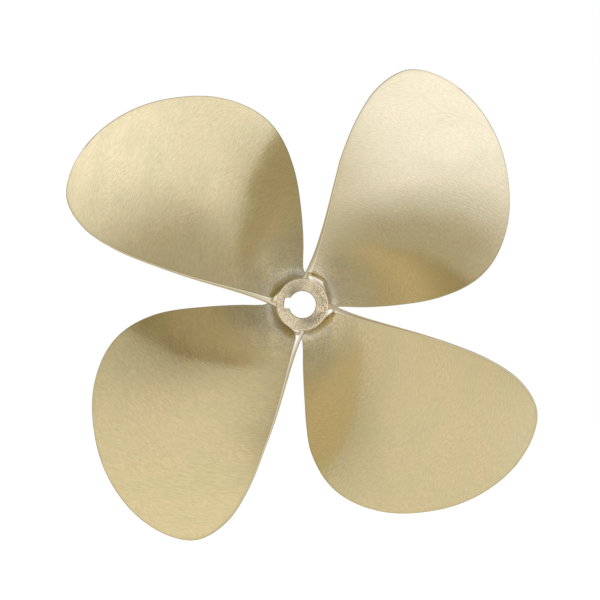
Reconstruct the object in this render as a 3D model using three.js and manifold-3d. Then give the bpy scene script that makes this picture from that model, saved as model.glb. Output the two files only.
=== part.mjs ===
// Four-bladed, right-handed boat propeller for a 40 mm tapered shaft.
// Millimetres. The shaft axis is Y: -Y is aft, +Y is forward, +Z is up.
// The origin is on the shaft axis, halfway along the hub.

import * as THREE from "three";
import { LoftGeometry } from "three/addons/geometries/LoftGeometry.js";
import { mergeVertices } from "three/addons/utils/BufferGeometryUtils.js";
import Module from "manifold-3d";

// Whole propeller
const TIP_RADIUS = 305;

// The four blades differ a little at the root. Leading and trailing are the degrees
// by which those edges are shifted at the shaft axis. The web fills the corner
// between the blade's aft face and the hub's aft end: it starts at this chord and
// stands this high above the hub.
const BLADES = [
  { leading: -2.5, trailing: -6, webFrom: 0.15, webHeight: 4 },
  { leading: -2.8, trailing: 0, webFrom: 0.8, webHeight: 3 },
  { leading: 1.5, trailing: 1.2, webFrom: 0.85, webHeight: 1.5 },
  { leading: 5, trailing: -1.8, webFrom: 0.75, webHeight: 4.5 },
];
const SHIFTED_UNTIL = 168;
const WEB_RUNS_OUT_OVER = 3.5;
const WEB_GROWS_OVER = 0.3;

// Hub
const HUB_LENGTH = 96;
const HUB_AFT_RADIUS = 29.3;
const HUB_FORWARD_RADIUS = 34;
const HUB_AFT_CHAMFER = 1.2;
const HUB_FORWARD_CHAMFER = 2.5;
const HUB_SEGMENTS = 96;

// Bore: taper of 1 in 10 on the diameter, small end aft
const BORE_AFT_RADIUS = 15.2;
const TAPER_ON_RADIUS = 1 / 20;
const BORE_CHAMFER = 0.8;

// Keyway, parallel to the taper
const KEYWAY_WIDTH = 12;
const KEYWAY_AFT_DEPTH_RADIUS = 20.4;
const KEYWAY_ANGLE = THREE.MathUtils.degToRad(173);

// Pitch, which eases towards the root
const PITCH = 560;
const ROOT_PITCH = 340;
const FULL_PITCH_AT = 0.5;

// Blade outline: at each fraction of the tip radius, the leading and trailing
// edges' angles in degrees, counted anticlockwise as seen from aft
const OUTLINE = [
  { at: 0.08, leading: -8, trailing: 80.5 },
  { at: 0.15, leading: -3.2, trailing: 78 },
  { at: 0.225, leading: -2, trailing: 77 },
  { at: 0.375, leading: 0.3, trailing: 76.4 },
  { at: 0.56, leading: 3.6, trailing: 75.1 },
  { at: 0.72, leading: 10.3, trailing: 73.5 },
  { at: 0.84, leading: 20.9, trailing: 71.1 },
  { at: 0.92, leading: 32, trailing: 68 },
  { at: 0.975, leading: 42.3, trailing: 63.5 },
];
const TIP_ANGLE = 54;
const TIP_FULLNESS = 67;
const OUTLINE_END = 1.001;
const SAMPLES_PER_STATION = 40;
const MID_HUB_ANGLE = 39.5;

// Blade thickness: greatest at mid chord, least at the edges
const ROOT_THICKNESS = 23;
const TIP_THICKNESS = 3.4;
const THINS_BY_POWER = 0.8;
const ROOT_EDGE_THICKNESS = 8;
const TIP_EDGE_THICKNESS = 2.4;
const EDGE_THINS_OVER = 55;
const TRAILING_EDGE_BLUNTNESS = 0.35;

// Blade root, which flares into the hub
const FILLET_RADIUS = 12;
const FORWARD_FILLET_LOSS = 0.8;
const SEAM_GAP = 0.3;
const FOLLOWS_HUB_UNTIL = 90;
const FACED_UNTIL = 42;
const OVERHANG = 30;
const CLEAR_OF_TIP = 1;

// Mesh steps of one blade: rings close over the hub, then rings out to the tip
const ROOT_RING_HEIGHTS = [-6, 0.6, 3, 7];
const OUTER_RINGS = 22;
const CHORD_STEPS = 14;
const LAST_RING_SHARE = 0.35;
const WELD_DISTANCE = 1e-4;

const HALF_HUB = HUB_LENGTH / 2;
const MID_HUB_RADIUS = (HUB_AFT_RADIUS + HUB_FORWARD_RADIUS) / 2;
const BORE_FORWARD_RADIUS = BORE_AFT_RADIUS + HUB_LENGTH * TAPER_ON_RADIUS;

const wasm = await Module();
wasm.setup();

// ---------------------------------------------------------------- booleans

function toSolid(geometry) {
  const bare = new THREE.BufferGeometry();
  bare.setAttribute("position", geometry.getAttribute("position"));
  bare.setIndex(geometry.getIndex());
  const merged = mergeVertices(bare, WELD_DISTANCE);
  return new wasm.Manifold(
    new wasm.Mesh({
      numProp: 3,
      vertProperties: merged.attributes.position.array,
      triVerts: new Uint32Array(merged.index.array),
    }),
  );
}

function toGeometry(solid) {
  const mesh = solid.getMesh();
  const geometry = new THREE.BufferGeometry();
  geometry.setAttribute("position", new THREE.BufferAttribute(mesh.vertProperties, 3));
  geometry.setIndex(new THREE.BufferAttribute(mesh.triVerts, 1));
  geometry.computeVertexNormals();
  return geometry;
}

// --------------------------------------------------------------------- hub

// The cone of the hub's outside, whose radius grows evenly from aft to forward.
function hubRadiusAt(y) {
  const share = (y + HALF_HUB) / HUB_LENGTH;
  return THREE.MathUtils.lerp(HUB_AFT_RADIUS, HUB_FORWARD_RADIUS, share);
}

function boreRadiusAt(y) {
  return BORE_AFT_RADIUS + (y + HALF_HUB) * TAPER_ON_RADIUS;
}

// A ring about the Y axis, from a closed list of [radius, y] corners.
function turned(corners) {
  const profile = corners.map(([radius, y]) => new THREE.Vector2(radius, y));
  profile.push(profile[0].clone());
  return new THREE.LatheGeometry(profile, HUB_SEGMENTS);
}

function hubBody() {
  const aft = -HALF_HUB;
  const forward = HALF_HUB;
  return turned([
    [BORE_AFT_RADIUS + BORE_CHAMFER, aft],
    [HUB_AFT_RADIUS - HUB_AFT_CHAMFER, aft],
    [HUB_AFT_RADIUS, aft + HUB_AFT_CHAMFER],
    [hubRadiusAt(forward - HUB_FORWARD_CHAMFER), forward - HUB_FORWARD_CHAMFER],
    [HUB_FORWARD_RADIUS - HUB_FORWARD_CHAMFER, forward],
    [BORE_FORWARD_RADIUS + BORE_CHAMFER, forward],
    [boreRadiusAt(forward - BORE_CHAMFER), forward - BORE_CHAMFER],
    [boreRadiusAt(aft + BORE_CHAMFER), aft + BORE_CHAMFER],
  ]);
}

// A bar along the bore wall, turned to the taper's slope and to the key's angle.
function keywayCutter() {
  const overrun = 10;
  const depth = KEYWAY_AFT_DEPTH_RADIUS + HALF_HUB * TAPER_ON_RADIUS;
  const bar = new THREE.BoxGeometry(depth, HUB_LENGTH + 2 * overrun, KEYWAY_WIDTH);
  bar.translate(-depth / 2, 0, 0);
  bar.rotateZ(-Math.atan(TAPER_ON_RADIUS));
  bar.translate(depth, 0, 0);
  bar.rotateY(-KEYWAY_ANGLE);
  return bar;
}

function hubGeometry() {
  const body = toSolid(hubBody());
  return toGeometry(body.subtract(toSolid(keywayCutter())));
}

// ------------------------------------------------------------------ blades

function eased(share) {
  return THREE.MathUtils.smoothstep(share, 0, 1);
}

// A smooth curve through [position, value] stations, as a function.
function throughStations(stations) {
  const curve = new THREE.SplineCurve(stations.map(([at, value]) => new THREE.Vector2(at, value)));
  const samples = curve.getPoints(stations.length * SAMPLES_PER_STATION);
  return (at) => {
    const next = Math.max(1, samples.findIndex((sample) => sample.x >= at));
    const before = samples[next - 1];
    const share = (at - before.x) / (samples[next].x - before.x);
    return THREE.MathUtils.lerp(before.y, samples[next].y, share);
  };
}

// Half the blade's angle shrinks with the square root of the distance to the
// tip, so what is interpolated is the half angle divided by that root.
const fullness = throughStations([
  ...OUTLINE.map(({ at, leading, trailing }) => [at, (trailing - leading) / 2 / Math.sqrt(1 - at)]),
  [OUTLINE_END, TIP_FULLNESS],
]);
const middle = throughStations([
  ...OUTLINE.map(({ at, leading, trailing }) => [at, (trailing + leading) / 2]),
  [OUTLINE_END, TIP_ANGLE],
]);

function pitchAt(radius) {
  return THREE.MathUtils.lerp(ROOT_PITCH, PITCH, eased(radius / TIP_RADIUS / FULL_PITCH_AT));
}

function thicknessAt(radius) {
  const share = (radius - HUB_AFT_RADIUS) / (TIP_RADIUS - HUB_AFT_RADIUS);
  return THREE.MathUtils.lerp(ROOT_THICKNESS, TIP_THICKNESS, Math.max(0, share) ** THINS_BY_POWER);
}

function edgeThicknessAt(radius) {
  const thin = Math.exp(-Math.max(0, radius - HUB_FORWARD_RADIUS) / EDGE_THINS_OVER);
  return THREE.MathUtils.lerp(TIP_EDGE_THICKNESS, ROOT_EDGE_THICKNESS, thin);
}

// Share of the full thickness left this far from an edge that is rounded over `round`.
function roundedEdge(distance, round) {
  const inset = Math.max(0, 1 - distance / round);
  return Math.sqrt(1 - Math.min(1, inset) ** 2);
}

// How far a fillet stands off the blade's face this far above the hub.
function filletAt(height) {
  const left = THREE.MathUtils.clamp(FILLET_RADIUS - height, 0, FILLET_RADIUS);
  return FILLET_RADIUS - Math.sqrt(FILLET_RADIUS ** 2 - left ** 2);
}

// Axial place of the helix at this radius and angle.
function helixAt(radius, angle) {
  const turn = angle - THREE.MathUtils.degToRad(MID_HUB_ANGLE);
  return -pitchAt(radius) / (2 * Math.PI) * turn;
}

// Angle of the outline's leading edge at chord -1 and trailing edge at chord 1.
function angleAt(blade, radius, chord) {
  const share = radius / TIP_RADIUS;
  const halfAngle = fullness(share) * Math.sqrt(1 - share);
  const atAxis = THREE.MathUtils.lerp(blade.leading, blade.trailing, (1 + chord) / 2);
  const shift = atAxis * Math.max(0, 1 - radius / SHIFTED_UNTIL);
  return THREE.MathUtils.degToRad(middle(share) + chord * halfAngle + shift);
}

// Share of the way from the blade's aft face to the hub's aft end that the web fills.
function webAt(blade, height, chord) {
  const grown = eased((chord - blade.webFrom) / WEB_GROWS_OVER);
  return grown * (1 - eased((height - blade.webHeight) / WEB_RUNS_OUT_OVER));
}

// A ring's radius is nominal at mid hub, and near the root it follows the hub's cone.
function radiusOnRing(blade, nominal, chord) {
  const follow = 1 - THREE.MathUtils.smoothstep(nominal, MID_HUB_RADIUS, FOLLOWS_HUB_UNTIL);
  const along = helixAt(nominal, angleAt(blade, nominal, chord));
  return nominal + follow * (hubRadiusAt(along) - MID_HUB_RADIUS);
}

// A point of the blade's skin. chord runs from -1 at the leading edge to 1 at
// the trailing edge, and side is 1 on the aft face and -1 on the forward one.
function skinPoint(blade, radius, chord, side) {
  const angle = angleAt(blade, radius, chord);
  const halfWidth = radius * (angleAt(blade, radius, 1) - angleAt(blade, radius, 0));
  const along = helixAt(radius, angle);
  const slope = Math.atan2(pitchAt(radius) / (2 * Math.PI), radius);

  const edge = edgeThicknessAt(radius);
  const full = edge + (thicknessAt(radius) - edge) * (1 - chord ** 2);
  const toTip = TIP_RADIUS - radius;
  const tipSteepness = halfWidth / (2 * toTip);
  const fromEdge = halfWidth * (1 - Math.abs(chord)) / Math.cos(slope);
  const fromOutline = Math.min(fromEdge / Math.hypot(1, tipSteepness), toTip);
  const bluntness = chord > 0 ? TRAILING_EDGE_BLUNTNESS : 1;
  const nose = roundedEdge(fromOutline, edge / 2 * bluntness);
  const height = radius - hubRadiusAt(along);
  const loss = side < 0 ? FORWARD_FILLET_LOSS * eased(chord) : 0;
  const fillet = filletAt(height) * (1 - loss);
  const offset = -full / 2 + side * (full / 2 + fillet) * nose;

  const shifted = angle - Math.sin(slope) * offset / radius;
  const y = along - Math.cos(slope) * offset;
  const filled = side > 0 ? webAt(blade, height, chord) : 0;
  return new THREE.Vector3(
    radius * Math.cos(shifted),
    THREE.MathUtils.lerp(y, Math.min(y, -HALF_HUB), filled),
    radius * Math.sin(shifted),
  );
}

// One closed ring of skin points: leading edge, aft face, trailing edge, forward face.
function bladeRing(blade, nominal) {
  const points = [];
  for (let step = 0; step < 2 * CHORD_STEPS; step++) {
    const chord = -Math.cos(step * Math.PI / CHORD_STEPS);
    const side = step < CHORD_STEPS ? 1 : -1;
    points.push(skinPoint(blade, radiusOnRing(blade, nominal, chord), chord, side));
  }
  return points.reverse();
}

// Rings crowd towards the tip, where the outline turns round.
function ringRadii() {
  const radii = ROOT_RING_HEIGHTS.map((height) => MID_HUB_RADIUS + height);
  const room = Math.sqrt(1 - (MID_HUB_RADIUS + FILLET_RADIUS) / TIP_RADIUS);
  for (let ring = 0; ring <= OUTER_RINGS; ring++) {
    const left = OUTER_RINGS - ring || LAST_RING_SHARE;
    radii.push(TIP_RADIUS * (1 - (room * left / OUTER_RINGS) ** 2));
  }
  return radii;
}

// What the blade is cut back to: outside the hub's cone, and faced flush with the
// hub's two ends near the root. Further out it overhangs them.
function bladeRoom() {
  const outside = TIP_RADIUS + CLEAR_OF_TIP;
  const widest = HALF_HUB + OVERHANG;
  const ring = [
    [hubRadiusAt(-HALF_HUB) + SEAM_GAP, -HALF_HUB],
    [FACED_UNTIL, -HALF_HUB],
    [FACED_UNTIL + OVERHANG, -widest],
    [outside, -widest],
    [outside, widest],
    [FACED_UNTIL + OVERHANG, widest],
    [FACED_UNTIL, HALF_HUB],
    [hubRadiusAt(HALF_HUB) + SEAM_GAP, HALF_HUB],
  ];
  return toSolid(turned(ring));
}

function bladeGeometry(blade) {
  const rings = ringRadii().map((nominal) => bladeRing(blade, nominal));
  const loft = new LoftGeometry(rings, { capStart: true, capEnd: true });
  return toGeometry(toSolid(loft).intersect(bladeRoom()));
}

// ---------------------------------------------------------------- assembly

const machinedBronze = new THREE.MeshStandardMaterial({
  color: 0xcdb898,
  roughness: 0.35,
  metalness: 1,
});
const groundBronze = new THREE.MeshStandardMaterial({
  color: 0xc2b07c,
  roughness: 0.42,
  metalness: 1,
});

const propeller = new THREE.Group();

const hub = new THREE.Mesh(hubGeometry(), machinedBronze);
hub.name = "hub";
propeller.add(hub);

BLADES.forEach((blade, index) => {
  const mesh = new THREE.Mesh(bladeGeometry(blade), groundBronze.clone());
  mesh.name = `blade_${index + 1}`;
  mesh.rotation.y = -index * 2 * Math.PI / BLADES.length;
  propeller.add(mesh);
});

export default propeller;
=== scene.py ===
import math

import bpy
import numpy as np
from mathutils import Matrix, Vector, noise


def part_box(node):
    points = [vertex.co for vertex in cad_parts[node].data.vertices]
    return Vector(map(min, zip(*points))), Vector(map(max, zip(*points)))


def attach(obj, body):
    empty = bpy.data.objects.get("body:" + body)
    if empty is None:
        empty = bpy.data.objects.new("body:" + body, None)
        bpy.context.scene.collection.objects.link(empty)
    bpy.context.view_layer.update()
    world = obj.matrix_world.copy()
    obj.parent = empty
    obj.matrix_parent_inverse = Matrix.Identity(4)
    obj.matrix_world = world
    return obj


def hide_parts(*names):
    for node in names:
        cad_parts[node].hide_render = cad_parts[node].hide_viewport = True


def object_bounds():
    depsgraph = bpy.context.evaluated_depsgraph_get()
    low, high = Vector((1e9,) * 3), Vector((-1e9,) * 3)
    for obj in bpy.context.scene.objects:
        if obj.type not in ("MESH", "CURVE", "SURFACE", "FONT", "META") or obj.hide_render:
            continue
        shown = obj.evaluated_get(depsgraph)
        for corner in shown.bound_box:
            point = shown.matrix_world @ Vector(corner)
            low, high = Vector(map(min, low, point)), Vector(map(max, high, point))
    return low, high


# Metres. The shaft axis is Y: -Y is aft, +Y is forward, +Z is up.
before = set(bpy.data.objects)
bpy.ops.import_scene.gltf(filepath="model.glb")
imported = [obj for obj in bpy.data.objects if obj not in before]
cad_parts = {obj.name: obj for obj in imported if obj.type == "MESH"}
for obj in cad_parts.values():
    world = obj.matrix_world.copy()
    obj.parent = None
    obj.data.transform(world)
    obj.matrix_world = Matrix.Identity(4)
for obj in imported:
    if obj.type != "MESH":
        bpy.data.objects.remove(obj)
cad_low, cad_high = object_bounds()
_, hub_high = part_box("hub")

# Camera, on the shaft axis behind the propeller
CAMERA_DISTANCE = 2.9
CAMERA_AZIMUTH = -1.0
CAMERA_ELEVATION = -0.3
CAMERA_AIM = (-0.0018, 0.0, 0.0054)
CAMERA_LENS = 152
SENSOR_WIDTH = 36

# Hub, whose length and forward radius are the frame's
HALF_HUB = hub_high.y
HUB_AFT_RADIUS = 0.0293
HUB_FORWARD_RADIUS = hub_high.x
HUB_AFT_CHAMFER = 0.0012
HUB_FORWARD_CHAMFER = 0.0025
BORE_AFT_RADIUS = 0.0152
TAPER_ON_RADIUS = 1 / 20
BORE_CHAMFER = 0.0008
KEYWAY_WIDTH = 0.012
KEYWAY_AFT_DEPTH_RADIUS = 0.0204
KEYWAY_ANGLE = math.radians(173)

# Blades, a little smaller than the CAD's at the tips and along the shaft, so as to stay in its box
CLEAR_OF_CAD_TIP = 0.0001
CAD_TIP_RADIUS = max(math.hypot(v.co.x, v.co.z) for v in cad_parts["blade_1"].data.vertices)
TIP_RADIUS = CAD_TIP_RADIUS - CLEAR_OF_CAD_TIP
SHAFTWISE_SHARE = 0.978
PITCH = 0.560
ROOT_PITCH = 0.340
FULL_PITCH_AT = 0.5
# Share of the tip radius, then the degrees at which the leading and the trailing edge lie there
OUTLINE = [
    (0.08, -8, 80.5),
    (0.15, -3.2, 78),
    (0.225, -2, 77),
    (0.375, 0.3, 76.4),
    (0.56, 3.6, 75.1),
    (0.72, 10.3, 73.5),
    (0.84, 20.9, 71.1),
    (0.92, 32, 68),
    (0.975, 42.3, 63.5),
]
TIP_ANGLE = 54
TIP_FULLNESS = 67
OUTLINE_END = 1.001
CURVE_STEPS = 40
MID_HUB_ANGLE = math.radians(39.5)
ROOT_THICKNESS = 0.023
TIP_THICKNESS = 0.0034
THINS_BY_POWER = 0.8
ROOT_EDGE_THICKNESS = 0.008
TIP_EDGE_THICKNESS = 0.0024
EDGE_THINS_OVER = 0.055
TRAILING_EDGE_BLUNTNESS = 0.35
FILLET_RADIUS = 0.012
FORWARD_FILLET_LOSS = 0.8
FOLLOWS_HUB_UNTIL = 0.090
FACED_UNTIL = 0.042

# The four blades differ a little at the root. Leading and trailing are the degrees by which
# those edges are shifted at the shaft axis. The web fills the corner between the blade's aft
# face and the hub's aft end: it starts at this chord and stands this high.
BLADES = [
    {"node": "blade_1", "leading": -2.5, "trailing": -6, "web_from": 0.15, "web_height": 0.004},
    {"node": "blade_2", "leading": -2.8, "trailing": 0, "web_from": 0.8, "web_height": 0.003},
    {"node": "blade_3", "leading": 1.5, "trailing": 1.2, "web_from": 0.85, "web_height": 0.0015},
    {"node": "blade_4", "leading": 5, "trailing": -1.8, "web_from": 0.75, "web_height": 0.0045},
]
SHIFTED_UNTIL = 0.168
WEB_RUNS_OUT_OVER = 0.0035
WEB_GROWS_OVER = 0.3
MID_HUB_RADIUS = (HUB_AFT_RADIUS + HUB_FORWARD_RADIUS) / 2

# Where painted light goes: a painted shade along the outline, and a painted highlight on the trailing
# edge near the hub and on the web
EDGE_SHADE_REACH = 0.0010
HIGHLIGHT_STRIP_WIDTH = 0.0012
WEB_HIGHLIGHT = 0.30
HIGHLIGHT_FADES_OVER = 0.120

# Mesh steps of one blade. The roots sink into the hub, and narrow by this much of their depth
# there so that they stay clear of its ends.
CHORD_STEPS = 96
OUTER_RINGS = 130
ROOT_RINGS = 16
ROOT_SINKS = 0.004
ROOT_TAPER = 0.5
LAST_RING_SHARE = 0.3

# The blades are a little wavy: hollows this far apart and this deep, which run out at the edges.
# The layers keep the noise of each side and each blade apart.
RIPPLE_SIZE = 0.030
RIPPLE_AT_ROOT = 0.00024
RIPPLE_AT_TIP = 0.00006
SWELL_SIZE = 0.07
SWELL_DEPTH = 0.0004
SWELL_LAYER = 0.5
HOLLOW_SIDE_LAYER = 4.3
HOLLOW_BLADE_LAYER = 11.7
HOLLOWS_END_POWER = 8
GRAIN_SIDE_LAYER = 0.1
GRAIN_BLADE_LAYER = 0.37

# Mesh steps of the hub
ARC_STEPS = 640
FACE_RING_STEP = 0.0003
HUB_CORNER_ANGLE = math.radians(40)
KEYWAY_SIDE_STEPS = 8
KEYWAY_FLOOR_STEPS = 16
BORE_LOOPS = 12
AFT_CORNER_LOOPS = 6
OUTSIDE_LOOPS = 14
FORWARD_CORNER_LOOPS = 8
FORWARD_FACE_SHARES = (0.8, 0.5, 0.2)

# Turning marks on the hub's aft end, two darker lobes of painted bow-tie reflection near the bore, and
# punch marks on an arc of it
BOW_TIE_ANGLE = math.radians(115)
BOW_TIE_REACH = 0.012
GROOVE_PITCH = 0.0018
GROOVE_DEPTH = 0.00008
GROOVE_LEAST = 0.3
GROOVE_DARKNESS = 0.4
GROOVES_VARY_OVER = GROOVE_PITCH * 1.7
GROOVE_LAYER = 0.5
PUNCH_ARC_RADIUS = 0.0243
PUNCH_ANGLES = (44, -52)
PUNCH_GROUPS = 13
PUNCHES_IN_GROUP = 5
PUNCH_RADIUS = 0.00048
PUNCH_DEPTH = 0.0004
PUNCH_FLATNESS = 4
PUNCH_SPREAD = (0.0016, 0.0031)
PUNCH_SEED = 5


# ------------------------------------------------------------------ meshes

def make_piece(name, points, faces):
    mesh = bpy.data.meshes.new(name)
    mesh.from_pydata(points.tolist(), [], faces)
    mesh.polygons.foreach_set("use_smooth", [True] * len(mesh.polygons))
    mesh.update()
    piece = bpy.data.objects.new(name, mesh)
    bpy.context.scene.collection.objects.link(piece)
    return piece


def loop_faces(loops, count, closed):
    """Quads between `loops` consecutive loops of `count` points, and back to the first if closed."""
    faces = []
    for loop in range(loops if closed else loops - 1):
        here = loop * count
        there = (loop + 1) % loops * count
        for step in range(count):
            following = (step + 1) % count
            faces.append((here + step, there + step, there + following, here + following))
    return faces


def store_vectors(piece, name, values):
    attribute = piece.data.attributes.new(name, "FLOAT_VECTOR", "POINT")
    attribute.data.foreach_set("vector", values.astype(np.float32).ravel())


def noise_field(x, z, layer, size):
    """Smooth noise from 0 to 1 whose bumps are this size."""
    x, z, layer = np.broadcast_arrays(x / size, z / size, layer)
    values = [noise.noise(place) for place in zip(x.ravel(), z.ravel(), layer.ravel())]
    return np.clip(np.array(values).reshape(x.shape) * 0.5 + 0.5, 0, 1)


# --------------------------------------------------------------------- hub

def hub_radius_at(y):
    share = (y + HALF_HUB) / (2 * HALF_HUB)
    return HUB_AFT_RADIUS + (HUB_FORWARD_RADIUS - HUB_AFT_RADIUS) * share


def bore_radius_at(y):
    return BORE_AFT_RADIUS + (y + HALF_HUB) * TAPER_ON_RADIUS


def bore_outline(radius, depth):
    """Closed outline of the bore with its keyway, as points (x, z), widened evenly from aft."""
    half = KEYWAY_WIDTH / 2
    start = math.asin(half / radius)
    arc = np.linspace(start, 2 * math.pi - start, ARC_STEPS)
    circle = np.stack([radius * np.cos(arc), radius * np.sin(arc)], 1)
    side = np.linspace(math.sqrt(radius**2 - half**2), depth, KEYWAY_SIDE_STEPS)[1:]
    floor = np.linspace(-half, half, KEYWAY_FLOOR_STEPS)[1:-1]
    lower = np.stack([side, np.full(len(side), -half)], 1)
    bottom = np.stack([np.full(len(floor), depth), floor], 1)
    upper = np.stack([side[::-1], np.full(len(side), half)], 1)
    outline = np.concatenate([circle, lower, bottom, upper])
    turn = KEYWAY_ANGLE
    x = outline[:, 0] * math.cos(turn) - outline[:, 1] * math.sin(turn)
    z = outline[:, 0] * math.sin(turn) + outline[:, 1] * math.cos(turn)
    return np.stack([x, z], 1)


def punch_marks():
    """Places (x, z) of the punch marks: small groups of dots along an arc."""
    random = np.random.default_rng(PUNCH_SEED)
    places = []
    for angle in np.radians(np.linspace(*PUNCH_ANGLES, PUNCH_GROUPS)):
        out = np.array([math.cos(angle), math.sin(angle)])
        across = np.array([-out[1], out[0]])
        for _ in range(PUNCHES_IN_GROUP):
            share = random.uniform(-1, 1, 2)
            places.append(
                out * (PUNCH_ARC_RADIUS + share[1] * PUNCH_SPREAD[1])
                + across * share[0] * PUNCH_SPREAD[0]
            )
    return np.array(places)


def aft_face_marks(points):
    """Shares of the turning marks, the punch marks and the painted bow-tie reflection at these points.
    """
    radius = np.hypot(points[:, 0], points[:, 2])
    uneven = noise_field(0, radius, GROOVE_LAYER, GROOVES_VARY_OVER)
    wave = 0.5 + 0.5 * np.cos(2 * math.pi * radius / GROOVE_PITCH)
    turning = wave * (GROOVE_LEAST + uneven)
    angle = np.arctan2(points[:, 2], points[:, 0])
    # Painted reflection: a darker bow-tie near the bore, such as a turned face shows
    painted_bow_tie = np.maximum(0, np.cos(2 * (angle - BOW_TIE_ANGLE))) * np.exp(
        -((radius - BORE_AFT_RADIUS) / BOW_TIE_REACH) ** 2
    )
    punched = np.zeros(len(points))
    for place in punch_marks():
        distance = np.hypot(points[:, 0] - place[0], points[:, 2] - place[1])
        punched = np.maximum(punched, np.exp(-(distance / PUNCH_RADIUS) ** PUNCH_FLATNESS))
    return turning, punched, painted_bow_tie


def hub_mesh():
    """Points of the hub, their marks (rim, darkening in the punch marks, and turning marks with the
    painted bow-tie reflection), and its faces.
    """
    aft = -HALF_HUB
    forward = HALF_HUB
    loops = []
    marks = {}

    def bore_loop(y, widened):
        depth = KEYWAY_AFT_DEPTH_RADIUS + (y - aft) * TAPER_ON_RADIUS
        outline = bore_outline(bore_radius_at(y) + widened, depth + widened)
        loops.append(np.stack([outline[:, 0], np.full(len(outline), y), outline[:, 1]], 1))

    def ring_loop(inner, y, radius, share):
        """Between the bore's edge and a circle of this radius, share of the way out."""
        edge = inner[:, [0, 2]]
        length = np.linalg.norm(edge, axis=1)
        circle = edge / length[:, None] * radius
        mixed = edge + (circle - edge) * share
        loops.append(np.stack([mixed[:, 0], np.full(len(mixed), y), mixed[:, 1]], 1))

    for y in np.linspace(forward - BORE_CHAMFER, aft + BORE_CHAMFER, BORE_LOOPS):
        bore_loop(y, 0)
    bore_loop(aft, BORE_CHAMFER)
    inner = loops[-1]
    face_edge = HUB_AFT_RADIUS - HUB_AFT_CHAMFER
    rings = round((face_edge - BORE_AFT_RADIUS) / FACE_RING_STEP)
    for ring in range(1, rings + 1):
        ring_loop(inner, aft, face_edge, ring / rings)
        if ring < rings:
            turning, punched, painted_bow_tie = aft_face_marks(loops[-1])
            loops[-1][:, 1] += GROOVE_DEPTH * turning + PUNCH_DEPTH * punched
            # The turning grooves darkened, together with the painted bow-tie reflection
            turning_and_bow_tie = turning * GROOVE_DARKNESS + painted_bow_tie
            marks[len(loops) - 1] = np.stack([np.zeros_like(turning), punched, turning_and_bow_tie], 1)
    for turn in np.linspace(0, math.pi / 2, AFT_CORNER_LOOPS)[1:]:
        y = aft + HUB_AFT_CHAMFER * (1 - math.cos(turn))
        ring_loop(inner, y, face_edge + HUB_AFT_CHAMFER * math.sin(turn), 1)
        marks[len(loops) - 1] = np.tile((1, 0, 0), (len(inner), 1))
    outside = np.linspace(aft + HUB_AFT_CHAMFER, forward - HUB_FORWARD_CHAMFER, OUTSIDE_LOOPS)
    for y in outside[1:]:
        ring_loop(inner, y, hub_radius_at(y), 1)
    start = hub_radius_at(forward - HUB_FORWARD_CHAMFER)
    end = HUB_FORWARD_RADIUS - HUB_FORWARD_CHAMFER
    for turn in np.linspace(0, math.pi / 2, FORWARD_CORNER_LOOPS)[1:]:
        y = forward - HUB_FORWARD_CHAMFER * (1 - math.sin(turn))
        ring_loop(inner, y, end + (start - end) * math.cos(turn), 1)
    bore_loop(forward, BORE_CHAMFER)
    outer = loops[-2]
    widened = loops.pop()
    for share in FORWARD_FACE_SHARES:
        loops.append(widened + (outer - widened) * share)
    loops.append(widened)
    plain = np.zeros((len(inner), 3))
    all_marks = [marks.get(place, plain) for place in range(len(loops))]
    faces = loop_faces(len(loops), len(inner), True)
    return np.concatenate(loops), np.concatenate(all_marks), faces


# ------------------------------------------------------------------ blades

def eased(share):
    share = np.clip(share, 0, 1)
    return share * share * (3 - 2 * share)


def through_stations(stations):
    """A smooth curve through (position, value) stations, as a function."""
    points = np.array(stations, float)
    points = np.concatenate([points[:1], points, points[-1:]])
    steps = np.linspace(0, 1, CURVE_STEPS, endpoint=False)
    curve = []
    for before, start, end, after in zip(points, points[1:], points[2:], points[3:]):
        out = (end - before) / 2
        into = (after - start) / 2
        for t in steps:
            curve.append(
                start
                + out * t
                + (3 * (end - start) - 2 * out - into) * t**2
                + (2 * (start - end) + out + into) * t**3
            )
    curve.append(points[-1])
    curve = np.array(curve)
    return lambda at: np.interp(at, curve[:, 0], curve[:, 1])


half_angles = [
    (at, (trailing - leading) / 2 / math.sqrt(1 - at)) for at, leading, trailing in OUTLINE
]
middles = [(at, (trailing + leading) / 2) for at, leading, trailing in OUTLINE]
fullness = through_stations(half_angles + [(OUTLINE_END, TIP_FULLNESS)])
middle = through_stations(middles + [(OUTLINE_END, TIP_ANGLE)])


def pitch_at(radius):
    return ROOT_PITCH + (PITCH - ROOT_PITCH) * eased(radius / TIP_RADIUS / FULL_PITCH_AT)


def thickness_at(radius):
    share = np.maximum(0, (radius - HUB_AFT_RADIUS) / (TIP_RADIUS - HUB_AFT_RADIUS))
    return ROOT_THICKNESS + (TIP_THICKNESS - ROOT_THICKNESS) * share**THINS_BY_POWER


def edge_thickness_at(radius):
    thin = np.exp(-np.maximum(0, radius - HUB_FORWARD_RADIUS) / EDGE_THINS_OVER)
    return TIP_EDGE_THICKNESS + (ROOT_EDGE_THICKNESS - TIP_EDGE_THICKNESS) * thin


def rounded_edge(distance, round_over):
    inset = np.clip(1 - distance / round_over, 0, 1)
    return np.sqrt(1 - inset**2)


def fillet_at(height):
    left = np.clip(FILLET_RADIUS - height, 0, FILLET_RADIUS)
    return FILLET_RADIUS - np.sqrt(FILLET_RADIUS**2 - left**2)


def helix_at(radius, angle):
    return -pitch_at(radius) / (2 * math.pi) * (angle - MID_HUB_ANGLE)


def angle_at(blade, radius, chord):
    share = radius / TIP_RADIUS
    half_angle = fullness(share) * np.sqrt(1 - share)
    at_axis = blade["leading"] + (blade["trailing"] - blade["leading"]) * (1 + chord) / 2
    shift = at_axis * np.maximum(0, 1 - radius / SHIFTED_UNTIL)
    return np.radians(middle(share) + chord * half_angle + shift)


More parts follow.
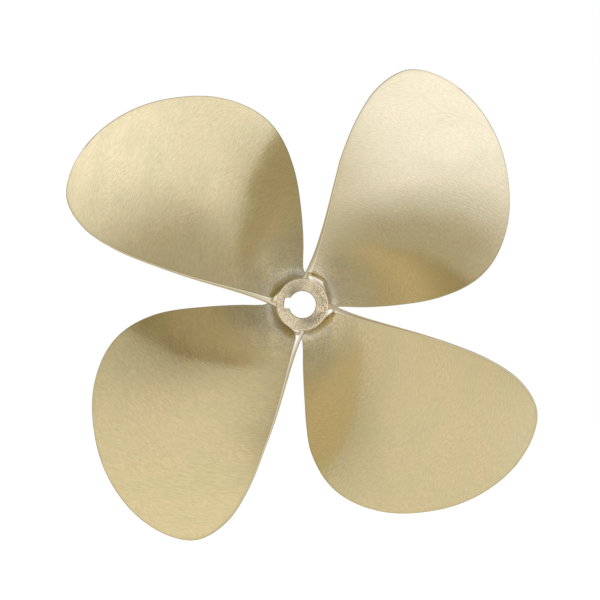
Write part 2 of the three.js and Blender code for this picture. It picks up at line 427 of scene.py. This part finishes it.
def web_at(blade, height, chord):
    """Share of the way from the blade's aft face to the hub's aft end that the web fills."""
    grown = eased((chord - blade["web_from"]) / WEB_GROWS_OVER)
    return grown * (1 - eased((height - blade["web_height"]) / WEB_RUNS_OUT_OVER))


def radius_on_ring(blade, nominal, chord):
    follow = 1 - eased((nominal - MID_HUB_RADIUS) / (FOLLOWS_HUB_UNTIL - MID_HUB_RADIUS))
    along = helix_at(nominal, angle_at(blade, nominal, chord))
    return nominal + follow * (hub_radius_at(along) - MID_HUB_RADIUS)


def sunk_at(radius, angle, side, index):
    """Depth of the shallow hollows on each side of each blade."""
    x = radius * np.cos(angle)
    z = radius * np.sin(angle)
    layer = HOLLOW_SIDE_LAYER * side + HOLLOW_BLADE_LAYER * index
    share = eased((radius - HUB_AFT_RADIUS) / (TIP_RADIUS - HUB_AFT_RADIUS))
    ripple = RIPPLE_AT_ROOT + (RIPPLE_AT_TIP - RIPPLE_AT_ROOT) * np.sqrt(share)
    return (
        ripple * noise_field(x, z, layer, RIPPLE_SIZE)
        + SWELL_DEPTH * noise_field(x, z, layer + SWELL_LAYER, SWELL_SIZE)
    )


def skin_points(blade, index, radius, chord, side):
    """Points of the blade's skin, side being 1 on the aft face and -1 on the forward one, with
    their marks: height above the hub, nearness to the outline (for a painted edge shade), and a painted
    highlight."""
    angle = angle_at(blade, radius, chord)
    half_width = radius * (angle_at(blade, radius, 1) - angle_at(blade, radius, 0))
    along = helix_at(radius, angle)
    slope = np.arctan2(pitch_at(radius) / (2 * math.pi), radius)

    edge = edge_thickness_at(radius)
    full = edge + (thickness_at(radius) - edge) * (1 - chord**2)
    to_tip = TIP_RADIUS - radius
    tip_steepness = half_width / (2 * to_tip)
    from_edge = half_width * (1 - np.abs(chord)) / np.cos(slope)
    from_outline = np.minimum(from_edge / np.hypot(1, tip_steepness), to_tip)
    bluntness = np.where(chord > 0, TRAILING_EDGE_BLUNTNESS, 1)
    nose = rounded_edge(from_outline, edge / 2 * bluntness)
    height = radius - hub_radius_at(along)
    fillet = fillet_at(height) * np.where(side < 0, 1 - FORWARD_FILLET_LOSS * eased(chord), 1)
    sunk = sunk_at(radius, angle, side, index) * (1 - chord**HOLLOWS_END_POWER)
    offset = -full / 2 + side * (full / 2 + fillet - sunk) * nose

    turned = angle - np.sin(slope) * offset / radius
    sunk_limit = np.maximum(0, -height) * ROOT_TAPER
    limit = HALF_HUB + np.maximum(0, radius - FACED_UNTIL) - sunk_limit
    y = np.clip((along - np.cos(slope) * offset) * SHAFTWISE_SHARE, -limit, limit)
    filled = np.where(side > 0, web_at(blade, height, chord), 0)
    y += (-HALF_HUB + sunk_limit - y) * filled
    # Painted highlight: a pale strip on the trailing edge that fades away from the hub, and a lighter
    # web
    highlight_strip = eased(1 - from_outline / HIGHLIGHT_STRIP_WIDTH) * (chord > 0)
    marks = np.stack([
        np.clip(height, 0, 1),
        np.exp(-from_outline / EDGE_SHADE_REACH),
        np.maximum(highlight_strip * np.exp(-height / HIGHLIGHT_FADES_OVER), filled * WEB_HIGHLIGHT),
    ], -1)
    return np.stack([radius * np.cos(turned), y, radius * np.sin(turned)], -1), marks


def ring_radii():
    root = np.linspace(-ROOT_SINKS, FILLET_RADIUS, ROOT_RINGS, endpoint=False)
    room = math.sqrt(1 - (MID_HUB_RADIUS + FILLET_RADIUS) / TIP_RADIUS)
    left = np.arange(OUTER_RINGS, -1, -1, dtype=float)
    left[-1] = LAST_RING_SHARE
    return np.concatenate([MID_HUB_RADIUS + root, TIP_RADIUS * (1 - (room * left / OUTER_RINGS) ** 2)])


def blade_mesh(blade, index):
    steps = np.arange(2 * CHORD_STEPS)
    chord = -np.cos(steps * math.pi / CHORD_STEPS)[None, :]
    side = np.where(steps < CHORD_STEPS, 1, -1)[None, :]
    nominal = ring_radii()[:, None]
    radius = radius_on_ring(blade, nominal, chord)
    points, marks = skin_points(blade, index, radius, chord, side)
    layer = np.broadcast_to(side * GRAIN_SIDE_LAYER + index * GRAIN_BLADE_LAYER, radius.shape)
    grain = np.stack([radius * angle_at(blade, radius, chord), radius, layer], -1)
    count = 2 * CHORD_STEPS
    faces = loop_faces(len(nominal), count, False)
    last = (len(nominal) - 1) * count
    for step in range(CHORD_STEPS):
        corners = (step, step + 1, count - step - 1, -step % count)
        root_cap = tuple(dict.fromkeys(corners))
        faces.append(root_cap)
        faces.append(tuple(last + corner for corner in reversed(root_cap)))
    return points.reshape(-1, 3), grain.reshape(-1, 3), marks.reshape(-1, 3), faces


def turned_about_shaft(points, quarter_turns):
    turn = quarter_turns * math.pi / 2
    x = points[:, 0] * math.cos(turn) - points[:, 2] * math.sin(turn)
    z = points[:, 0] * math.sin(turn) + points[:, 2] * math.cos(turn)
    return np.stack([x, points[:, 1], z], 1)


# --------------------------------------------------------------- materials

def add(tree, kind, inputs=None, **settings):
    """A new node, with its settings, and with its inputs linked or given a value."""
    node = tree.nodes.new(kind)
    for name, value in settings.items():
        setattr(node, name, value)
    for name, value in (inputs or {}).items():
        if isinstance(value, bpy.types.NodeSocket):
            tree.links.new(value, node.inputs[name])
        else:
            node.inputs[name].default_value = value
    return node


# Sockets of the Mix node: its factor, what it mixes as numbers and as colours, and its results
MIX_FACTOR = 0
MIX_NUMBERS = (2, 3)
MIX_COLOURS = (6, 7)
MIXED_NUMBER = 0
MIXED_COLOUR = 2


def calculated(tree, operation, first, second):
    return add(tree, "ShaderNodeMath", {0: first, 1: second}, operation=operation).outputs[0]


def stretched(tree, vector, scale):
    inputs = {0: vector, 1: scale}
    return add(tree, "ShaderNodeVectorMath", inputs, operation="MULTIPLY").outputs[0]


def noise_node(tree, vector, scale, detail=2, roughness=0.5):
    inputs = {"Vector": vector, "Scale": scale, "Detail": detail, "Roughness": roughness}
    return add(tree, "ShaderNodeTexNoise", inputs).outputs["Fac"]


def ranged(tree, value, before, after):
    """The value's range `before` mapped to the range `after`."""
    inputs = {
        "Value": value,
        "From Min": before[0],
        "From Max": before[1],
        "To Min": after[0],
        "To Max": after[1],
    }
    return add(tree, "ShaderNodeMapRange", inputs).outputs["Result"]


def blended(tree, factor, first, second):
    """Two colours mixed by a factor; each is a colour or another node's output."""
    node = add(tree, "ShaderNodeMix", data_type="RGBA")
    for place, value in zip((MIX_FACTOR, *MIX_COLOURS), (factor, first, second)):
        socket = node.inputs[place]
        if isinstance(value, bpy.types.NodeSocket):
            tree.links.new(value, socket)
        else:
            socket.default_value = (*value, 1)
    return node.outputs[MIXED_COLOUR]


def between(tree, factor, first, second):
    """Two numbers mixed by a factor."""
    inputs = dict(zip((MIX_FACTOR, *MIX_NUMBERS), (factor, first, second)))
    return add(tree, "ShaderNodeMix", inputs, data_type="FLOAT").outputs[MIXED_NUMBER]


def scaled_colour(tree, colour, factor):
    return add(tree, "ShaderNodeVectorMath", {0: colour, "Scale": factor}, operation="SCALE").outputs[0]


def new_material(name):
    material = bpy.data.materials.new(name)
    material.use_nodes = True
    return material, material.node_tree, material.node_tree.nodes["Principled BSDF"]


# Ranges of a noise that are stretched over a whole blend, from even to sharp
SHADE_RANGE = (0.3, 0.7)
PATCH_RANGE = (0.35, 0.65)

# Ground bronze
BRONZE_PINK = (0.81, 0.68, 0.42)
BRONZE_GREEN = (0.785, 0.685, 0.415)
# Colour of the painted shade near the blade roots and in the crevice where blade meets hub
BRONZE_PAINTED_SHADE = (0.42, 0.385, 0.26)
# Colour of the painted shade along the blade's outline
BRONZE_EDGE_SHADE = (0.56, 0.47, 0.26)
# Colour of the painted highlight on the trailing edge near the hub and on the web
BRONZE_HIGHLIGHT = (0.99, 0.91, 0.74)
# How far the painted shade in the blade-hub crevice reaches
CREVICE_SHADE_REACH = 0.0025
GRIT_SCALE = 560
GRIT_REACH = 0.055
GRIT_SHADES = (0.74, 1.20)
# Painted shade in darker blotches, fading out away from the blade roots
ROOT_SHADE_REACH = 0.060
ROOT_SHADE_SCALE = 38
ROOT_SHADE_SHARE = 0.62
ROOT_SHADE_RANGE = (0.34, 0.70)
PATCH_SCALE = 28
PATCH_DETAIL = 3
PATCH_NOISE_ROUGHNESS = 0.6
STROKES_CROSS_RANGE = (0.25, 0.75)
STROKE_SCALE = (210, 700, 10)
CROSS_STROKE_SCALE = (250, 620, 10)
CROSS_STROKE_TILT = 0.7
WOBBLE_SCALE = 20
WOBBLE = 0.010
STROKE_DEPTH = 0.00009
STROKE_SHADES = (0.90, 1.08)
GROUND_ROUGHNESS = (0.15, 0.22)
DULL_ROUGHNESS = 0.42


def ground_bronze():
    material, tree, shader = new_material("ground_bronze")
    grain = add(tree, "ShaderNodeAttribute", attribute_name="grain").outputs["Vector"]
    marks = add(tree, "ShaderNodeAttribute", attribute_name="marks").outputs["Vector"]
    rise, edge, painted_highlight = add(tree, "ShaderNodeSeparateXYZ", {0: marks}).outputs
    along, out, layer = add(tree, "ShaderNodeSeparateXYZ", {0: grain}).outputs

    wobble = ranged(tree, noise_node(tree, grain, WOBBLE_SCALE, 1), (0, 1), (-WOBBLE, WOBBLE))
    wobbly = calculated(tree, "ADD", out, wobble)
    tilted = calculated(tree, "ADD", wobbly, calculated(tree, "MULTIPLY", along, CROSS_STROKE_TILT))
    first = add(tree, "ShaderNodeCombineXYZ", {0: along, 1: wobbly, 2: layer}).outputs[0]
    second = add(tree, "ShaderNodeCombineXYZ", {0: along, 1: tilted, 2: layer}).outputs[0]
    strokes = noise_node(tree, stretched(tree, first, STROKE_SCALE), 1, 1)
    crossing = noise_node(tree, stretched(tree, second, CROSS_STROKE_SCALE), 1, 1)
    where = ranged(tree, noise_node(tree, grain, PATCH_SCALE, 0), STROKES_CROSS_RANGE, (0, 1))
    height = between(tree, where, strokes, crossing)

    patches = noise_node(tree, grain, PATCH_SCALE, PATCH_DETAIL, PATCH_NOISE_ROUGHNESS)
    patches = ranged(tree, patches, PATCH_RANGE, (0, 1))
    colour = blended(tree, patches, BRONZE_PINK, BRONZE_GREEN)
    colour = scaled_colour(tree, colour, ranged(tree, height, SHADE_RANGE, STROKE_SHADES))
    grit = ranged(tree, noise_node(tree, grain, GRIT_SCALE, 1), SHADE_RANGE, GRIT_SHADES)
    near_hub = ranged(tree, rise, (0, GRIT_REACH), (1, 0))
    colour = blended(tree, near_hub, colour, scaled_colour(tree, colour, grit))
    # Painted shade: darker along the blade's outline
    colour = blended(tree, edge, colour, BRONZE_EDGE_SHADE)
    # Painted shade: darker blotches fading out from the blade roots, and darker in the crevice where
    # blade meets hub
    root_shade_blotches = noise_node(tree, grain, ROOT_SHADE_SCALE, 2)
    root_shade_blotches = ranged(tree, root_shade_blotches, ROOT_SHADE_RANGE, (0, ROOT_SHADE_SHARE))
    root_shade_blotches = calculated(tree, "MULTIPLY", root_shade_blotches, ranged(tree, rise, (0, ROOT_SHADE_REACH), (1, 0)))
    root_and_crevice_shade = calculated(tree, "MAXIMUM", root_shade_blotches, ranged(tree, rise, (0, CREVICE_SHADE_REACH), (1, 0)))
    colour = blended(tree, root_and_crevice_shade, colour, BRONZE_PAINTED_SHADE)
    # Painted highlight on the trailing edge near the hub and on the web
    colour = blended(tree, painted_highlight, colour, BRONZE_HIGHLIGHT)
    tree.links.new(colour, shader.inputs["Base Color"])

    roughness = ranged(tree, patches, (0, 1), GROUND_ROUGHNESS)
    dulled = between(tree, root_and_crevice_shade, roughness, DULL_ROUGHNESS)
    tree.links.new(dulled, shader.inputs["Roughness"])
    bump = add(tree, "ShaderNodeBump", {"Strength": 1, "Distance": STROKE_DEPTH, "Height": height})
    tree.links.new(bump.outputs[0], shader.inputs["Normal"])
    shader.inputs["Metallic"].default_value = 1
    return material


# Machined bronze
MACHINED_LIGHT = (0.82, 0.67, 0.41)
MACHINED_DARK = (0.68, 0.57, 0.36)
MACHINED_RIM = (0.95, 0.82, 0.60)
# Darker colour inside the punch marks
MACHINED_PUNCH_DARK = (0.25, 0.20, 0.13)
STAIN_SCALE = 110
STAIN_DETAIL = 4
STAIN_NOISE_ROUGHNESS = 0.6
MACHINED_ROUGHNESS = (0.34, 0.46)
MACHINED_ANISOTROPY = 0.6
# Shades of the turning grooves and of the painted bow-tie reflection near the bore
TURNING_AND_BOW_TIE_SHADES = (1.04, 0.52)
SPECKLE_SCALE = 620
SPECKLE_SHADES = (0.76, 1.20)


def machined_bronze():
    material, tree, shader = new_material("machined_bronze")
    place = add(tree, "ShaderNodeTexCoord").outputs["Object"]
    stains = noise_node(tree, place, STAIN_SCALE, STAIN_DETAIL, STAIN_NOISE_ROUGHNESS)
    stains = ranged(tree, stains, PATCH_RANGE, (0, 1))
    marks = add(tree, "ShaderNodeAttribute", attribute_name="marks").outputs["Vector"]
    rim, punch_darkening, turning = add(tree, "ShaderNodeSeparateXYZ", {0: marks}).outputs
    colour = blended(tree, stains, MACHINED_LIGHT, MACHINED_DARK)
    # Darkens the turning grooves and, near the bore, the painted bow-tie reflection
    colour = scaled_colour(tree, colour, ranged(tree, turning, (0, 1), TURNING_AND_BOW_TIE_SHADES))
    speckles = ranged(tree, noise_node(tree, place, SPECKLE_SCALE, 1), SHADE_RANGE, SPECKLE_SHADES)
    colour = scaled_colour(tree, colour, speckles)
    colour = blended(tree, rim, colour, MACHINED_RIM)
    # Darker inside the punch marks
    colour = blended(tree, punch_darkening, colour, MACHINED_PUNCH_DARK)
    tree.links.new(colour, shader.inputs["Base Color"])
    roughness = ranged(tree, stains, (0, 1), MACHINED_ROUGHNESS)
    tree.links.new(roughness, shader.inputs["Roughness"])
    tangent = add(tree, "ShaderNodeTangent", direction_type="RADIAL", axis="Y")
    tree.links.new(tangent.outputs[0], shader.inputs["Tangent"])
    shader.inputs["Anisotropic"].default_value = MACHINED_ANISOTROPY
    shader.inputs["Metallic"].default_value = 1
    return material


# ------------------------------------------------------------ light, floor

# The studio as the propeller sees it: soft-edged panels on the walls aft and forward of it,
# later ones over earlier ones. Each is given by how far right (x) and up (z) its edges lie on
# the unit sphere of directions, with the softness of each pair of edges, and by its colour.
AFT_PANELS = {
    "above": ((-0.30, 2.00), (0.92, 2.00), (0.20, 0.20), (0.45, 0.44, 0.40)),
    "above_left": ((-0.50, 0.10), (0.80, 2.00), (0.08, 0.25), (0.34, 0.33, 0.29)),
    "far_right": ((0.88, 2.00), (-0.10, 0.60), (0.15, 0.20), (0.40, 0.39, 0.35)),
    "right_low": ((0.70, 2.00), (-0.42, 0.00), (0.15, 0.12), (0.68, 0.67, 0.64)),
    "below": ((-0.60, 0.05), (-1.10, -0.35), (0.25, 0.20), (0.76, 0.73, 0.66)),
    "left": ((-0.67, -0.15), (-0.75, 0.60), (0.20, 0.20), (0.81, 0.79, 0.72)),
    "left_middle": ((-0.72, -0.30), (0.00, 0.34), (0.12, 0.12), (0.93, 0.91, 0.83)),
    "upper_left": ((-0.80, -0.44), (0.20, 0.64), (0.20, 0.20), (0.83, 0.81, 0.74)),
    "upper_right": ((-0.05, 0.74), (-0.10, 0.63), (0.15, 0.13), (1.00, 1.01, 1.05)),
    "glow": ((0.05, 0.42), (0.36, 0.56), (0.10, 0.08), (1.20, 1.23, 1.34)),
    "key": ((-0.08, 0.78), (-0.505, 0.10), (0.24, 0.14), (1.24, 1.31, 1.62)),
}
FORWARD_PANELS = {
    "left": ((-2.0, -0.1), (-0.3, 0.5), (0.2, 0.2), (0.31, 0.31, 0.32)),
    "top": ((-2.0, 2.0), (0.2, 2.0), (0.2, 0.2), (0.53, 0.555, 0.635)),
    "low": ((-2.0, 2.0), (-2.0, -0.2), (0.2, 0.2), (0.76, 0.775, 0.85)),
}
AMBIENT = (0.50, 0.48, 0.42)
SIDE_EDGE = 0.35
SIDE_SOFTNESS = 0.25
FORWARD_AMBIENT = (0.42, 0.42, 0.42)


def soft_step(tree, value, edge, softness):
    """0 below the edge and 1 above it, eased over the softness each way."""
    inputs = {"Value": value, "From Min": edge - softness, "From Max": edge + softness}
    step = add(tree, "ShaderNodeMapRange", inputs, interpolation_type="SMOOTHSTEP")
    return step.outputs["Result"]


def panelled(tree, axes, ambient, panels):
    """The ambient colour with each soft-edged panel laid over it."""
    colour = ambient
    for (left, right), (bottom, top), (soft_x, soft_z), tint in panels.values():
        inside = []
        for axis, low, high, softness in (("X", left, right, soft_x), ("Z", bottom, top, soft_z)):
            above_low = soft_step(tree, axes[axis], low, softness)
            above_high = soft_step(tree, axes[axis], high, softness)
            inside.append(calculated(tree, "SUBTRACT", above_low, above_high))
        colour = blended(tree, calculated(tree, "MULTIPLY", *inside), colour, tint)
    return colour


def make_world():
    world = bpy.data.worlds.new("studio")
    world.use_nodes = True
    bpy.context.scene.world = world
    tree = world.node_tree
    background = tree.nodes["Background"]
    direction = add(tree, "ShaderNodeTexCoord").outputs["Generated"]
    axes = add(tree, "ShaderNodeSeparateXYZ", {0: direction}).outputs
    aft = panelled(tree, axes, AMBIENT, AFT_PANELS)
    forward = panelled(tree, axes, FORWARD_AMBIENT, FORWARD_PANELS)
    faces_forward = soft_step(tree, axes["Y"], SIDE_EDGE, SIDE_SOFTNESS)
    tree.links.new(blended(tree, faces_forward, aft, forward), background.inputs["Color"])
    backdrop = add(tree, "ShaderNodeBackground", {"Color": (1, 1, 1, 1)}).outputs[0]
    from_camera = add(tree, "ShaderNodeLightPath").outputs["Is Camera Ray"]
    inputs = {0: from_camera, 1: background.outputs[0], 2: backdrop}
    chosen = add(tree, "ShaderNodeMixShader", inputs).outputs[0]
    tree.links.new(chosen, tree.nodes["World Output"].inputs["Surface"])


FLOOR_DROP = 0.14
FLOOR_HALF_SIZE = 6
FLOOR_SHADE = 0.9
FLOOR_GLOW = 0.62


def make_floor():
    z = cad_low.z - FLOOR_DROP
    half = FLOOR_HALF_SIZE
    corners = [(-half, -half, z), (half, -half, z), (half, half, z), (-half, half, z)]
    mesh = bpy.data.meshes.new("floor")
    mesh.from_pydata(corners, [], [(0, 1, 2, 3)])
    floor = bpy.data.objects.new("floor", mesh)
    bpy.context.scene.collection.objects.link(floor)
    material, _, shader = new_material("pale_floor")
    shader.inputs["Base Color"].default_value = (FLOOR_SHADE, FLOOR_SHADE, FLOOR_SHADE, 1)
    shader.inputs["Roughness"].default_value = 1
    shader.inputs["Emission Color"].default_value = (1, 1, 1, 1)
    shader.inputs["Emission Strength"].default_value = FLOOR_GLOW
    mesh.materials.append(material)
    floor.visible_glossy = False


def make_camera():
    azimuth = math.radians(CAMERA_AZIMUTH)
    elevation = math.radians(CAMERA_ELEVATION)
    back = Vector((
        math.sin(azimuth) * math.cos(elevation),
        -math.cos(azimuth) * math.cos(elevation),
        math.sin(elevation),
    ))
    data = bpy.data.cameras.new("camera")
    data.lens = CAMERA_LENS
    data.sensor_width = SENSOR_WIDTH
    camera = bpy.data.objects.new("camera", data)
    camera.location = Vector(CAMERA_AIM) + back * CAMERA_DISTANCE
    camera.rotation_mode = "QUATERNION"
    camera.rotation_quaternion = (-back).to_track_quat("-Z", "Y")
    bpy.context.scene.collection.objects.link(camera)
    bpy.context.scene.camera = camera


# ---------------------------------------------------------------- assembly

make_camera()
make_world()
make_floor()

blade_finish = ground_bronze()
hub_finish = machined_bronze()

points, marks, faces = hub_mesh()
hub = make_piece("hub_machined", points, faces)
store_vectors(hub, "marks", marks)
hub.data.materials.append(hub_finish)
hub.data.set_sharp_from_angle(angle=HUB_CORNER_ANGLE)
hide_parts("hub")
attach(hub, "root")

for index, blade in enumerate(BLADES):
    node = blade["node"]
    points, grain, marks, faces = blade_mesh(blade, index)
    piece = make_piece(node + "_ground", turned_about_shaft(points, index), faces)
    store_vectors(piece, "grain", grain)
    store_vectors(piece, "marks", marks)
    piece.data.materials.append(blade_finish)
    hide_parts(node)
    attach(piece, "root")

bpy.context.scene.view_settings.view_transform = "Standard"
